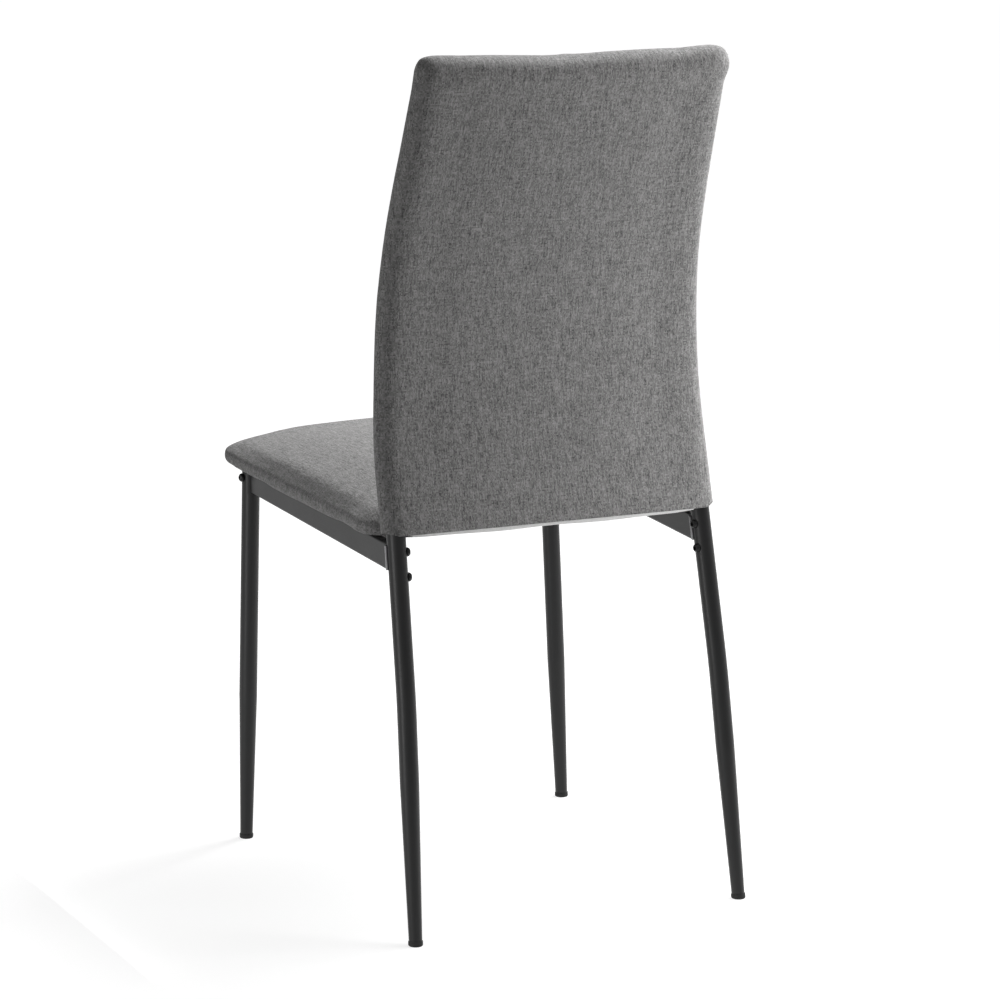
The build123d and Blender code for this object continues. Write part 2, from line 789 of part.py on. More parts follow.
# Seat cover: fabric drawn over the foam, its hem turned under the board
with BuildPart() as seat_room:
    seat_pad(seat_floor, fabric_thickness)
with BuildPart() as seat_cover:
    seat_pad(seat_floor, 0)
    add(seat_room.part, mode=Mode.SUBTRACT)
    with BuildSketch(seat_plane):
        seat_outline(seat_hem_inset, seat_corner)
    extrude(amount=board_floor + fabric_thickness, mode=Mode.SUBTRACT)
    screw_holes(screw_d + 2 * slip_gap)
pieces["seat_cover"] = seat_cover.part

# Seat board of plywood, resting on the turned hem
with BuildPart() as seat_board:
    with BuildSketch(seat_plane.offset(board_floor)):
        seat_outline(seat_board_inset, seat_corner)
    extrude(amount=seat_board_thickness)
    screw_holes(screw_d + 2 * weld_gap)
pieces["seat_board"] = seat_board.part

# Seat foam: the crowned pad on the board, down round its edge
with BuildPart() as seat_foam:
    seat_pad(seat_floor, fabric_thickness + cloth_gap)
    with BuildSketch(seat_plane):
        seat_outline(seat_board_inset - cloth_gap, seat_corner + cloth_gap)
    extrude(amount=board_floor + seat_board_thickness + cloth_gap, mode=Mode.SUBTRACT)
pieces["seat_foam"] = seat_foam.part

for name, piece in pieces.items():
    piece.label = name
os.makedirs("parts", exist_ok=True)
for name, piece in pieces.items():
    export_step(piece, f"parts/{name}.step")
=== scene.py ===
"""Upholstered dining chair: the looks of its steel, cloth, foam and plastic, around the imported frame."""

import math

import bmesh
import bpy
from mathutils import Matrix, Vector


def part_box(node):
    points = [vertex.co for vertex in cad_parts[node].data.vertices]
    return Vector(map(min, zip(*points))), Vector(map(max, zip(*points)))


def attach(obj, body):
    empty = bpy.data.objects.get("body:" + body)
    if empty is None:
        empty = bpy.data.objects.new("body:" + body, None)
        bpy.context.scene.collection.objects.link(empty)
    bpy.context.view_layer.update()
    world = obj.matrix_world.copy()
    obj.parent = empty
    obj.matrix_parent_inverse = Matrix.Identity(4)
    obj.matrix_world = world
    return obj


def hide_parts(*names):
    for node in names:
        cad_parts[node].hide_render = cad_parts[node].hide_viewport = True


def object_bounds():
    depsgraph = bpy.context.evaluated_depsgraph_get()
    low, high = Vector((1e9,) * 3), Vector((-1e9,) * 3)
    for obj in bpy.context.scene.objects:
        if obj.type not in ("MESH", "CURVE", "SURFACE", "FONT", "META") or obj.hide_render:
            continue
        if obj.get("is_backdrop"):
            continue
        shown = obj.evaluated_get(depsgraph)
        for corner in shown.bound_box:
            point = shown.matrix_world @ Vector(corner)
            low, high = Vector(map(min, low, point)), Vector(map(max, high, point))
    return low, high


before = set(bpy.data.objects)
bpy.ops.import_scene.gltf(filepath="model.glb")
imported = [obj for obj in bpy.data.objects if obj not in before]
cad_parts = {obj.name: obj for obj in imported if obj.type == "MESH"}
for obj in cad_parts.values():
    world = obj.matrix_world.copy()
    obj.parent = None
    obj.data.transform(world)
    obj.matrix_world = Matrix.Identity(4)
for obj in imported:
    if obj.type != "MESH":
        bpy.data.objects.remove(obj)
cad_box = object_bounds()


# Legs: drawn steel tube, drawn down to a taper at the foot and coated all over
# in satin black powder. The rear pair is bent and carries the back as well.
coat_black = (0.0062, 0.0062, 0.0065, 1)
coat_grain = 1300.0
coat_clouds = 16.0
coat_depth = 0.0003


def put(tree, kind, options=(), **values):
    """Add a node, set its options, and fill its inputs with values or with other nodes' outputs."""
    made = tree.nodes.new("ShaderNode" + kind)
    for option, value in dict(options).items():
        setattr(made, option, value)
    for socket, value in values.items():
        feed(tree, made.inputs[socket.replace("_", " ")], value)
    return made


def feed(tree, socket, value):
    """Link an output to an input, or write a plain value into it."""
    if isinstance(value, bpy.types.NodeSocket):
        tree.links.new(value, socket)
    else:
        socket.default_value = value


def calc(tree, operation, *terms):
    """Result of one step of arithmetic."""
    made = tree.nodes.new("ShaderNodeMath")
    made.operation = operation
    for socket, value in zip(made.inputs, terms):
        feed(tree, socket, value)
    return made.outputs[0]


def scaled(tree, colour, share):
    """Colour made lighter or darker by a share."""
    return put(tree, "VectorMath", {"operation": "SCALE"}, Vector=colour, Scale=share).outputs[0]


def new_group(name, inputs, outputs):
    """Empty shader group; returns its tree, what comes into it and what goes out of it."""
    tree = bpy.data.node_groups.new(name, "ShaderNodeTree")
    for socket, kind in inputs.items():
        tree.interface.new_socket(socket, in_out="INPUT", socket_type="NodeSocket" + kind)
    for socket, kind in outputs.items():
        tree.interface.new_socket(socket, in_out="OUTPUT", socket_type="NodeSocket" + kind)
    return tree, tree.nodes.new("NodeGroupInput").outputs, tree.nodes.new("NodeGroupOutput").inputs


def new_material(name):
    """Material with its own shader; returns the material, its tree and the shader."""
    material = bpy.data.materials.new(name)
    material.use_nodes = True
    tree = material.node_tree
    tree.nodes.clear()
    shader = put(tree, "BsdfPrincipled")
    put(tree, "OutputMaterial", Surface=shader.outputs[0])
    return material, tree, shader


def set_bump(tree, shader, height, strength, depth):
    """Relief of a surface, from a height that changes over it."""
    bump = put(tree, "Bump", Strength=strength, Distance=depth, Height=height)
    tree.links.new(bump.outputs[0], shader.inputs["Normal"])


def dress(material, *nodes):
    """Give frame nodes a finish."""
    for name in nodes:
        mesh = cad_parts[name].data
        mesh.materials.clear()
        mesh.materials.append(material)


# Powder coat: a fine pebble in the surface, with clouds where it lies thicker
coat_group, coat_in, coat_out = new_group(
    "powder_coat",
    {"Position": "Vector", "Colour": "Color", "Roughness": "Float"},
    {"Colour": "Color", "Roughness": "Float", "Height": "Float"},
)
pebble = put(coat_group, "TexNoise", Vector=coat_in["Position"], Scale=coat_grain, Detail=2.0)
clouds = put(coat_group, "TexNoise", Vector=coat_in["Position"], Scale=coat_clouds, Detail=3.0)
tone = calc(coat_group, "MULTIPLY_ADD", clouds.outputs["Fac"], 0.5, 0.75)
coat_group.links.new(scaled(coat_group, coat_in["Colour"], tone), coat_out["Colour"])
gloss = calc(coat_group, "MULTIPLY_ADD", clouds.outputs["Fac"], 0.16, -0.08)
grit = calc(coat_group, "MULTIPLY_ADD", pebble.outputs["Fac"], 0.1, -0.05)
spread = calc(coat_group, "ADD", calc(coat_group, "ADD", gloss, grit), coat_in["Roughness"])
coat_group.links.new(spread, coat_out["Roughness"])
coat_group.links.new(pebble.outputs["Fac"], coat_out["Height"])


def coated(name, colour, roughness, specular, relief):
    """Coated or moulded surface with a fine pebble."""
    material, tree, shader = new_material(name)
    place = put(tree, "TexCoord").outputs["Object"]
    coat = put(tree, "Group", {"node_tree": coat_group}, Position=place, Colour=colour, Roughness=roughness)
    tree.links.new(coat.outputs["Colour"], shader.inputs["Base Color"])
    tree.links.new(coat.outputs["Roughness"], shader.inputs["Roughness"])
    shader.inputs["Specular IOR Level"].default_value = specular
    set_bump(tree, shader, coat.outputs["Height"], relief, coat_depth)
    return material


black_coat = coated("satin_black_powder_coat", coat_black, roughness=0.36, specular=0.38, relief=0.1)
dress(black_coat, "front_leg_left", "front_leg_right", "rear_leg_left", "rear_leg_right")


# Foot glides: black moulded plastic plugs, pressed into the ends of the legs,
# with a wider lip that stands on the floor.
plastic_black = (0.014, 0.014, 0.014, 1)

glide_plastic = coated("moulded_black_plastic", plastic_black, roughness=0.6, specular=0.35, relief=0.25)
for end in ("front", "rear"):
    dress(glide_plastic, f"foot_glide_{end}_left", f"foot_glide_{end}_right")


# Side rails and cross rail: flat rectangular steel tube, coated with the legs
# after the saddles and the seat tabs have been welded on.
dress(black_coat, "side_rail_left", "side_rail_right", "front_cross_rail", "seat_tabs")
dress(black_coat, "rail_saddle_front_left", "rail_saddle_front_right")


# Rear saddles: curved plates welded between rail and rear leg, ground flush with the
# rail's upper and lower faces. Their light grey, nearly metallic coat is a painted highlight along their
# cut edges.
rail_rise = 0.0202
rail_run = 0.3747
seat_pitch = math.atan2(rail_rise, rail_run)
seat_up = Vector((0, math.sin(seat_pitch), math.cos(seat_pitch)))
# Light grey for the rear saddles: a painted highlight on their edges, not the colour of their black coat
painted_highlight_grey = (0.3, 0.3, 0.305, 1)
saddle_flush = 0.0004
saddle_rise = 0.0035
saddle_edge = 0.0005


def new_piece(name, mesh_form, material):
    """Object of a finished mesh form, riding on the chair."""
    mesh = bpy.data.meshes.new(name)
    mesh_form.to_mesh(mesh)
    mesh_form.free()
    mesh.materials.append(material)
    mesh.shade_smooth()
    piece = bpy.data.objects.new(name, mesh)
    bpy.context.scene.collection.objects.link(piece)
    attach(piece, "root")
    return piece


# Painted highlight: the saddles get a light grey, nearly metallic coat, so that their cut edges show as a
# bright strip
painted_highlight_coat = coated("grey_coat_painted_highlight", painted_highlight_grey, roughness=0.5, specular=0.4, relief=0.2)
painted_highlight_coat.node_tree.nodes["Principled BSDF"].inputs["Metallic"].default_value = 0.9
for side in ("left", "right"):
    plate = bmesh.new()
    plate.from_mesh(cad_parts[f"rail_saddle_rear_{side}"].data)
    bmesh.ops.remove_doubles(plate, verts=plate.verts, dist=1e-6)
    bmesh.ops.dissolve_limit(plate, angle_limit=0.02, verts=plate.verts, edges=plate.edges)
    longest = max(plate.edges, key=lambda edge: edge.calc_length())
    along = (longest.verts[1].co - longest.verts[0].co).normalized()
    along *= math.copysign(1.0, along.z)
    depths = [vert.co.y for vert in plate.verts]
    saddle_front = min(depths)
    saddle_deep = max(depths) - saddle_front
    levels = [vert.co.dot(along) for vert in plate.verts]
    middle = (min(levels) + max(levels)) / 2
    rail_levels = [vert.co.dot(seat_up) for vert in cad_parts[f"side_rail_{side}"].data.vertices]
    for vert in plate.verts:
        upper = vert.co.dot(along) > middle
        rise = saddle_rise * (vert.co.y - saddle_front) / saddle_deep
        level = max(rail_levels) - saddle_flush if upper else min(rail_levels) + saddle_flush + rise
        vert.co += along * (level - vert.co.dot(seat_up)) / along.dot(seat_up)
    corners = [edge for edge in plate.edges if edge.is_manifold and edge.calc_face_angle() > 0.6]
    bmesh.ops.bevel(
        plate, geom=corners, offset=saddle_edge, segments=2, profile=0.5, affect="EDGES", material=-1
    )
    bmesh.ops.recalc_face_normals(plate, faces=plate.faces)
    saddle = new_piece(f"rear_saddle_{side}", plate, painted_highlight_coat)
    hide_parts(f"rail_saddle_rear_{side}")


# Bolts: button heads in black oxide with a hexagon socket, two through each
# rear leg and one through the top of each front leg.
oxide_black = (0.004, 0.004, 0.0042, 1)

black_oxide = coated("black_oxide_steel", oxide_black, roughness=0.3, specular=0.28, relief=0.05)
dress(black_oxide, "front_leg_bolts", "rear_leg_bolts")


# Frame inside the back: bare steel tube, bent and welded, with tapped slugs
# in its lower ends and plastic caps in its upper ends.
steel_dark = (0.231, 0.231, 0.238, 1)
steel_light = (0.396, 0.396, 0.408, 1)
drawing_stretch = (900.0, 900.0, 25.0)


def two_tone(tree, share, first, second):
    """Colour between two others, by a share."""
    made = put(tree, "Mix", {"data_type": "RGBA"}, Factor=share)
    made.inputs[6].default_value = first
    made.inputs[7].default_value = second
    return made.outputs[2]


bare_steel, tree, shader = new_material("drawn_bare_steel")
place = put(tree, "TexCoord").outputs["Object"]
drawn = put(tree, "Mapping", Vector=place, Scale=drawing_stretch)
lines = put(tree, "TexNoise", Vector=drawn.outputs[0], Scale=1.0, Detail=3.0)
rub = calc(tree, "MULTIPLY_ADD", lines.outputs["Fac"], 0.3, 0.25)
tree.links.new(rub, shader.inputs["Roughness"])
shade = two_tone(tree, lines.outputs["Fac"], steel_dark, steel_light)
tree.links.new(shade, shader.inputs["Base Color"])
shader.inputs["Metallic"].default_value = 1.0
dress(bare_steel, "back_upright_left", "back_upright_right", "back_top_bar", "back_lower_bar")
dress(bare_steel, "upright_slugs", "cross_rail_nut_blocks", "seat_screws")
dress(glide_plastic, "upright_caps")


# Belts: black elastic webbing, slipped over both uprights in four loops, which
# carry the foam and give a little when someone leans back.
webbing_black = (0.02, 0.02, 0.021)
webbing_rib = 0.0021
rib_depth = 0.0004

webbing, tree, shader = new_material("elastic_webbing")
place = put(tree, "TexCoord").outputs["Object"]
height = put(tree, "SeparateXYZ", Vector=place).outputs["Z"]
ribs = calc(tree, "SINE", calc(tree, "MULTIPLY", height, 2 * math.pi / webbing_rib))
fluff = put(tree, "TexNoise", Vector=place, Scale=700.0, Detail=2.0).outputs["Fac"]
wear = calc(tree, "MULTIPLY_ADD", fluff, 1.2, 0.4)
tree.links.new(scaled(tree, webbing_black, wear), shader.inputs["Base Color"])
shader.inputs["Roughness"].default_value = 0.8
set_bump(tree, shader, ribs, 0.4, rib_depth)
dress(webbing, *(f"back_belt_{number}" for number in range(1, 5)))


# Back: a foam wrap round the frame in a sleeve of grey woven cloth, sewn shut
# at the sides and top, drawn down over the frame and open at the bottom.
warp_pitch = 0.001
weft_pitch = 0.0014
slub_length = 0.014
streak_width = 0.0035
streak_length = 0.03
yarn_dark = (0.066, 0.065, 0.0655, 1)
yarn_light = (0.33, 0.326, 0.322, 1)
yarn_depth = 0.0004
sleeve_voxel = 0.005
sleeve_slack = 0.003
sleeve_reach = 0.006
sleeve_half_bottom = 0.1905
sleeve_half_top = 0.171
sleeve_thickness = 0.043
sleeve_extra = 0.014
sleeve_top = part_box("back_cover")[1].z
mouth_lean = math.radians(12)
mouth_down = Vector((0, math.sin(mouth_lean), -math.cos(mouth_lean)))
mouth_point = Vector((0, 0.1667, 0.4122))
mouth_corner = 0.005

# Plain weave: two sets of yarns, each yarn with its own shade and its slubs, dyed unevenly
# from one crossing to the next
yarn_group, yarn_in, yarn_out = new_group(
    "plain_weave", {"Across": "Float", "Along": "Float"}, {"Shade": "Float", "Height": "Float"}
)


def blend(tree, share, low, high):
    """Value between two others, by a share."""
    return calc(tree, "MULTIPLY_ADD", share, calc(tree, "SUBTRACT", high, low), low)


def yarns(tree, across, along, pitch, seed):
    """One set of yarns: number of each, hump across it and shade along it."""
    steps = calc(tree, "DIVIDE", across, pitch)
    number = calc(tree, "FLOOR", steps)
    hump = calc(tree, "SINE", calc(tree, "MULTIPLY", calc(tree, "FRACT", steps), math.pi))
    row = calc(tree, "MULTIPLY_ADD", number, 7.31, seed)
    run = calc(tree, "DIVIDE", along, slub_length)
    spot = put(tree, "CombineXYZ", X=row, Y=run)
    slub = put(tree, "TexNoise", {"noise_dimensions": "2D"}, Vector=spot.outputs[0], Scale=1.0, Detail=1.5)
    return number, hump, calc(tree, "SUBTRACT", slub.outputs["Fac"], 0.5)


warp, warp_hump, warp_slub = yarns(yarn_group, yarn_in["Across"], yarn_in["Along"], warp_pitch, 3.7)
weft, weft_hump, weft_slub = yarns(yarn_group, yarn_in["Along"], yarn_in["Across"], weft_pitch, 61.3)
over = calc(yarn_group, "FLOORED_MODULO", calc(yarn_group, "ADD", warp, weft), 2.0)
crossing = put(yarn_group, "CombineXYZ", X=warp, Y=weft)
dye = put(yarn_group, "TexWhiteNoise", {"noise_dimensions": "2D"}, Vector=crossing.outputs[0])
streak_spot = put(
    yarn_group, "CombineXYZ",
    X=calc(yarn_group, "DIVIDE", yarn_in["Across"], streak_width),
    Y=calc(yarn_group, "DIVIDE", yarn_in["Along"], streak_length),
)
streak = put(
    yarn_group, "TexNoise", {"noise_dimensions": "2D"}, Vector=streak_spot.outputs[0], Scale=1.0, Detail=2.0
)
mottle = calc(yarn_group, "MULTIPLY_ADD", dye.outputs["Value"], 0.6, 0.16)
for slub, contrast in ((warp_slub, 0.9), (weft_slub, 0.45)):
    mottle = calc(yarn_group, "MULTIPLY_ADD", slub, contrast, mottle)
streaked = calc(yarn_group, "MULTIPLY_ADD", streak.outputs["Fac"], 0.08, mottle)
yarn_group.links.new(streaked, yarn_out["Shade"])
warp_top = calc(yarn_group, "MULTIPLY", warp_hump, calc(yarn_group, "MULTIPLY_ADD", weft_hump, 0.45, 0.55))
weft_top = calc(yarn_group, "MULTIPLY", weft_hump, calc(yarn_group, "MULTIPLY_ADD", warp_hump, 0.45, 0.55))
yarn_group.links.new(blend(yarn_group, over, warp_top, weft_top), yarn_out["Height"])

# Cloth wrap: the weave laid on from three sides, each where the cloth faces that way
wrap_group, wrap_in, wrap_out = new_group(
    "cloth_wrap", {"Position": "Vector", "Normal": "Vector"}, {"Shade": "Float", "Height": "Float"}
)
spot = put(wrap_group, "SeparateXYZ", Vector=wrap_in["Position"]).outputs
facing = put(wrap_group, "SeparateXYZ", Vector=wrap_in["Normal"]).outputs
shares = [
    calc(wrap_group, "POWER", calc(wrap_group, "ABSOLUTE", facing[axis]), 8.0) for axis in ("X", "Y", "Z")
]
whole = calc(wrap_group, "ADD", calc(wrap_group, "ADD", shares[0], shares[1]), shares[2])
sums = {"Shade": 0.0, "Height": 0.0}
for share, across, along in zip(shares, ("Y", "X", "X"), ("Z", "Z", "Y")):
    weave = put(wrap_group, "Group", {"node_tree": yarn_group}, Across=spot[across], Along=spot[along])
    part = calc(wrap_group, "DIVIDE", share, whole)
    for socket in sums:
        sums[socket] = calc(wrap_group, "MULTIPLY_ADD", weave.outputs[socket], part, sums[socket])
for socket, total in sums.items():
    wrap_group.links.new(total, wrap_out[socket])


def woven(name, dark, light, roughness, sheen, relief):
    """Woven cloth between the shades of its darkest and lightest yarns."""
    material, tree, shader = new_material(name)
    coords = put(tree, "TexCoord").outputs
    cloth = put(
        tree, "Group", {"node_tree": wrap_group}, Position=coords["Object"], Normal=coords["Normal"]
    )
    colour = two_tone(tree, cloth.outputs["Shade"], dark, light)
    tree.links.new(colour, shader.inputs["Base Color"])
    shader.inputs["Roughness"].default_value = roughness
    shader.inputs["Specular IOR Level"].default_value = 0.2
    shader.inputs["Sheen Weight"].default_value = sheen
    shader.inputs["Sheen Roughness"].default_value = 0.6
    set_bump(tree, shader, cloth.outputs["Height"], relief, yarn_depth)
    return material


def outer_skin(node, is_rim, longer=None):
    """Outside of a cover, as one closed mesh: its rim is cut away, its mouth drawn longer and filled."""
    skin = bmesh.new()
    skin.from_mesh(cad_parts[node].data)
    bmesh.ops.remove_doubles(skin, verts=skin.verts, dist=1e-6)
    rim = [face for face in skin.faces if is_rim(face)]
    bmesh.ops.delete(skin, geom=rim, context="FACES_ONLY")
    bmesh.ops.delete(skin, geom=[edge for edge in skin.edges if not edge.link_faces], context="EDGES")
    start = max(skin.verts, key=lambda vert: vert.co.z)
    outside = {start}
    front = [start]
    while front:
        vert = front.pop()
        for edge in vert.link_edges:
            other = edge.other_vert(vert)
            if other not in outside:
                outside.add(other)
                front.append(other)
    inside = [vert for vert in skin.verts if vert not in outside]
    bmesh.ops.delete(skin, geom=inside, context="VERTS")
    if longer:
        mouth = [edge for edge in skin.edges if edge.is_boundary]
        drawn = bmesh.ops.extrude_edge_only(skin, edges=mouth)["geom"]
        ends = [part for part in drawn if isinstance(part, bmesh.types.BMVert)]
        bmesh.ops.translate(skin, verts=ends, vec=longer)
    bmesh.ops.holes_fill(skin, edges=[edge for edge in skin.edges if edge.is_boundary], sides=0)
    bmesh.ops.recalc_face_normals(skin, faces=skin.faces)
    return skin


def settle(piece):
    """Apply a piece's modifiers to its mesh."""
    bpy.context.view_layer.update()
    shape = piece.evaluated_get(bpy.context.evaluated_depsgraph_get())
    mesh = bpy.data.meshes.new_from_object(shape)
    old = piece.data
    piece.modifiers.clear()
    piece.data = mesh
    bpy.data.meshes.remove(old)
    piece.data.shade_smooth()


def ease(value, start, end):
    """Share from 0 at a start to 1 at an end, with soft ends."""
    share = min(max((value - start) / (end - start), 0.0), 1.0)
    return share * share * (3 - 2 * share)


def pad_out(piece, voxel, slack, reach, grip):
    """Even out a pad's cloth, draw it in by a slack where it is free, then blow it up within a reach."""
    blown_frames = 20
    remesh = piece.modifiers.new("even_cloth", "REMESH")
    remesh.mode = "VOXEL"
    remesh.voxel_size = voxel
    relax = piece.modifiers.new("eased", "SMOOTH")
    relax.factor = 0.5
    relax.iterations = 3
    settle(piece)
    held = piece.vertex_groups.new(name="held")
    normals = [vert.normal.copy() for vert in piece.data.vertices]
    for vert, normal in zip(piece.data.vertices, normals):
        share = grip(vert.co)
        held.add([vert.index], share, "REPLACE")
        vert.co -= normal * slack * (1 - share)
    cloth = piece.modifiers.new("cloth", "CLOTH")
    cloth.settings.vertex_group_mass = "held"
    cloth.settings.use_pressure = True
    cloth.settings.uniform_pressure_force = 4.0
    cloth.settings.effector_weights.gravity = 0.0
    cloth.settings.quality = 4
    cloth.settings.tension_stiffness = 25.0
    cloth.settings.compression_stiffness = 25.0
    cloth.settings.bending_stiffness = 2.0
    cloth.point_cache.frame_start = 1
    cloth.point_cache.frame_end = blown_frames
    for step in range(1, blown_frames + 1):
        bpy.context.scene.frame_set(step)
    blown = piece.evaluated_get(bpy.context.evaluated_depsgraph_get()).data
    places = [vert.co.copy() for vert in blown.vertices]
    piece.modifiers.clear()
    bpy.context.scene.frame_set(1)
    for vert, place in zip(piece.data.vertices, places):
        move = place - vert.co
        if move.length > reach:
            move *= reach / move.length
        vert.co += move
    even = piece.modifiers.new("drawn_smooth", "SMOOTH")
    even.factor = 0.5
    even.iterations = 4
    settle(piece)


def finish_pad(piece):
    """Round a pad's cloth off with one subdivision."""
    smooth = piece.modifiers.new("rounded", "SUBSURF")
    smooth.levels = 1
    smooth.render_levels = 1
    settle(piece)


grey_cloth = woven("grey_melange_cloth", yarn_dark, yarn_light, roughness=0.95, sheen=0.15, relief=0.25)
back_skin = outer_skin(
    "back_cover", lambda face: face.normal.dot(mouth_down) > 0.999, mouth_down * sleeve_extra
)
back_pad = new_piece("back_pad", back_skin, grey_cloth)


def sleeve_half(z):
    """Half width of the sleeve at a height."""
    share = (z - mouth_point.z) / (sleeve_top - mouth_point.z)
    return sleeve_half_bottom + (sleeve_half_top - sleeve_half_bottom) * share


def sleeve_grip(co):
    """Where the frame and the seams hold the sleeve: its sides, its top and its mouth."""
    side = 1 - ease(sleeve_half(co.z) - abs(co.x), 0.02, 0.075)
    top = 1 - ease(sleeve_top - co.z, 0.02, 0.075)
    mouth = 1 - ease((mouth_point - co).dot(mouth_down), 0.012, 0.07)
    return max(side, top, mouth)


pad_out(back_pad, sleeve_voxel, sleeve_slack, sleeve_reach, sleeve_grip)


def bump(value, middle, spread):
    """Share of 1 at a middle, which falls off softly on both sides."""
    return math.exp(-(((value - middle) / spread) ** 2))


# Sleeve's own lines: full sides, a longer lean above the bend, a top edge that sinks in the
# middle, a fuller top corner on the right with a waist below it, and a lower left edge that is
# flattened and drawn in
side_full = 0.0032
side_full_above = 0.002
left_drawn_in = 0.0036
left_flattened = 0.0016
left_rounded = 0.0034
lean_back = 0.002
bend_full = 0.0035
left_corner_out = 0.0015
left_corner_up = 0.001
right_ear_out = 0.004
right_corner_up = 0.0026
top_sink = 0.0035

normals = [vert.normal.copy() for vert in back_pad.data.vertices]
for vert, normal in zip(back_pad.data.vertices, normals):
    x, y, z = vert.co
    half = sleeve_half(z)
    near_top = ease(z, 0.865, 0.9)
    far_right = ease(-x, 0.12, 0.165)
    left_corner = near_top * ease(x, 0.13, 0.168)
    left_low = (1 - ease(z, 0.425, 0.53)) * ease(x, half - 0.034, half - 0.004)
    fuller = side_full + (side_full_above - side_full) * ease(z, 0.45, 0.6)
    fuller -= left_drawn_in * (x > 0) * (1 - ease(z, 0.39, 0.5))
    x += math.copysign(fuller * ease(abs(x), half - 0.05, half), x)
    x += left_corner_out * left_corner - right_ear_out * far_right * ease(z, 0.866, 0.882)
    y += ease(z, 0.46, 0.6) * (lean_back + bend_full * bump(z, 0.77, 0.07))
    left_side = (0.4 + 0.6 * ease(z, 0.42, 0.48)) * ease(x, half - 0.075, half - 0.004)
    y -= (left_flattened * left_low + left_rounded * left_side) * ease(normal.y, -0.1, 0.6)
    z += right_corner_up * near_top * far_right + left_corner_up * left_corner
    z -= top_sink * near_top * bump(x, 0.015, 0.07)
    vert.co = (x, y, z)

# Top ridge: the even cloth leaves points crowded along it, which are merged and smoothed
ridge_height = 0.882
ridge_half = 0.13
ridge_spacing = 0.0025

even_top = bmesh.new()
even_top.from_mesh(back_pad.data)


def ridge_points():
    """Points along the sleeve's top, away from its corners."""
    return [vert for vert in even_top.verts if vert.co.z > ridge_height and abs(vert.co.x) < ridge_half]


bmesh.ops.remove_doubles(even_top, verts=ridge_points(), dist=ridge_spacing)
ridge = ridge_points()
for _ in range(4):
    bmesh.ops.smooth_vert(
        even_top, verts=ridge, factor=0.5, use_axis_x=True, use_axis_y=True, use_axis_z=True
    )
even_top.to_mesh(back_pad.data)
even_top.free()
finish_pad(back_pad)

# Hem: the cloth is cut off at the mouth and turned up inside it, in steps inwards and upwards
hem_steps = ((0.0007, -0.0006), (0.0008, 0.0002), (0.0006, 0.001), (0.0002, 0.011))

hem = bmesh.new()
hem.from_mesh(back_pad.data)


def round_mouth(way):
    """Move the sleeve's lower corners down or back up, so that a straight cut leaves them round."""
    for vert in hem.verts:
        vert.co += mouth_down * way * mouth_corner * ease(abs(vert.co.x), 0.172, 0.1915) ** 2


round_mouth(1)
bmesh.ops.bisect_plane(
    hem, geom=hem.verts[:] + hem.edges[:] + hem.faces[:], plane_co=mouth_point, plane_no=mouth_down,
    clear_outer=True,
)
round_mouth(-1)
hem_core = sleeve_half_bottom - sleeve_thickness / 2
for inwards, upwards in hem_steps:
    edge_loop = [edge for edge in hem.edges if edge.is_boundary]
    turned = bmesh.ops.extrude_edge_only(hem, edges=edge_loop)["geom"]
    for vert in turned:
        if isinstance(vert, bmesh.types.BMVert):
            middle = Vector((min(max(vert.co.x, -hem_core), hem_core), mouth_point.y, mouth_point.z))
            inside = middle - vert.co
            inside -= mouth_down * inside.dot(mouth_down)
            vert.co += inside.normalized() * inwards - mouth_down * upwards
bmesh.ops.recalc_face_normals(hem, faces=hem.faces)
hem.to_mesh(back_pad.data)
hem.free()
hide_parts("back_cover", "back_foam")


# Closing tape: a pale woven band in the mouth of the sleeve, tacked along the
# lower bar between the rear legs, which hides the foam from below.
tape_dark = (0.86, 0.857, 0.85, 1)
tape_light = (0.96, 0.957, 0.95, 1)
tape_depth = 0.035
tape_drop = 0.0042
tape_tuck = 0.004
tape_cloth = 0.0008
tape_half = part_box("back_closing_tape")[1].x

pale_tape = woven("pale_woven_tape", tape_dark, tape_light, roughness=0.9, sheen=0.1, relief=0.3)
depth_way = Vector((0, math.cos(mouth_lean), math.sin(mouth_lean)))
tape_form = bmesh.new()
bmesh.ops.create_grid(tape_form, x_segments=66, y_segments=14, size=1.0)
for vert in tape_form.verts:
    along, across, _ = vert.co
    belly = (1 - abs(across) ** 7) * (1 - 0.35 * abs(along) ** 8 - 0.06 * math.cos(9 * along))
    fall = belly * (tape_drop + tape_tuck) - tape_tuck
    vert.co = mouth_point + depth_way * across * tape_depth / 2 + mouth_down * fall
    vert.co.x = along * tape_half
bmesh.ops.recalc_face_normals(tape_form, faces=tape_form.faces)
bmesh.ops.solidify(tape_form, geom=tape_form.faces[:], thickness=tape_cloth)
bmesh.ops.recalc_face_normals(tape_form, faces=tape_form.faces)
closing_tape = new_piece("closing_tape", tape_form, pale_tape)
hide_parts("back_closing_tape")


# Seat board: birch-faced plywood, cut to the seat's outline and hidden between
# the foam and the underside cloth.
ply_face = (0.52, 0.38, 0.24, 1)
ply_grain = (0.36, 0.24, 0.14, 1)
grain_stretch = (14.0, 160.0, 160.0)
grain_depth = 0.0003

plywood, tree, shader = new_material("birch_plywood")
place = put(tree, "TexCoord").outputs["Object"]
grown = put(tree, "Mapping", Vector=place, Scale=grain_stretch)
figure = put(tree, "TexNoise", Vector=grown.outputs[0], Scale=1.0, Detail=5.0, Distortion=0.6)
wood = two_tone(tree, figure.outputs["Fac"], ply_face, ply_grain)
tree.links.new(wood, shader.inputs["Base Color"])
shader.inputs["Roughness"].default_value = 0.7
set_bump(tree, shader, figure.outputs["Fac"], 0.15, grain_depth)
dress(plywood, "seat_board")


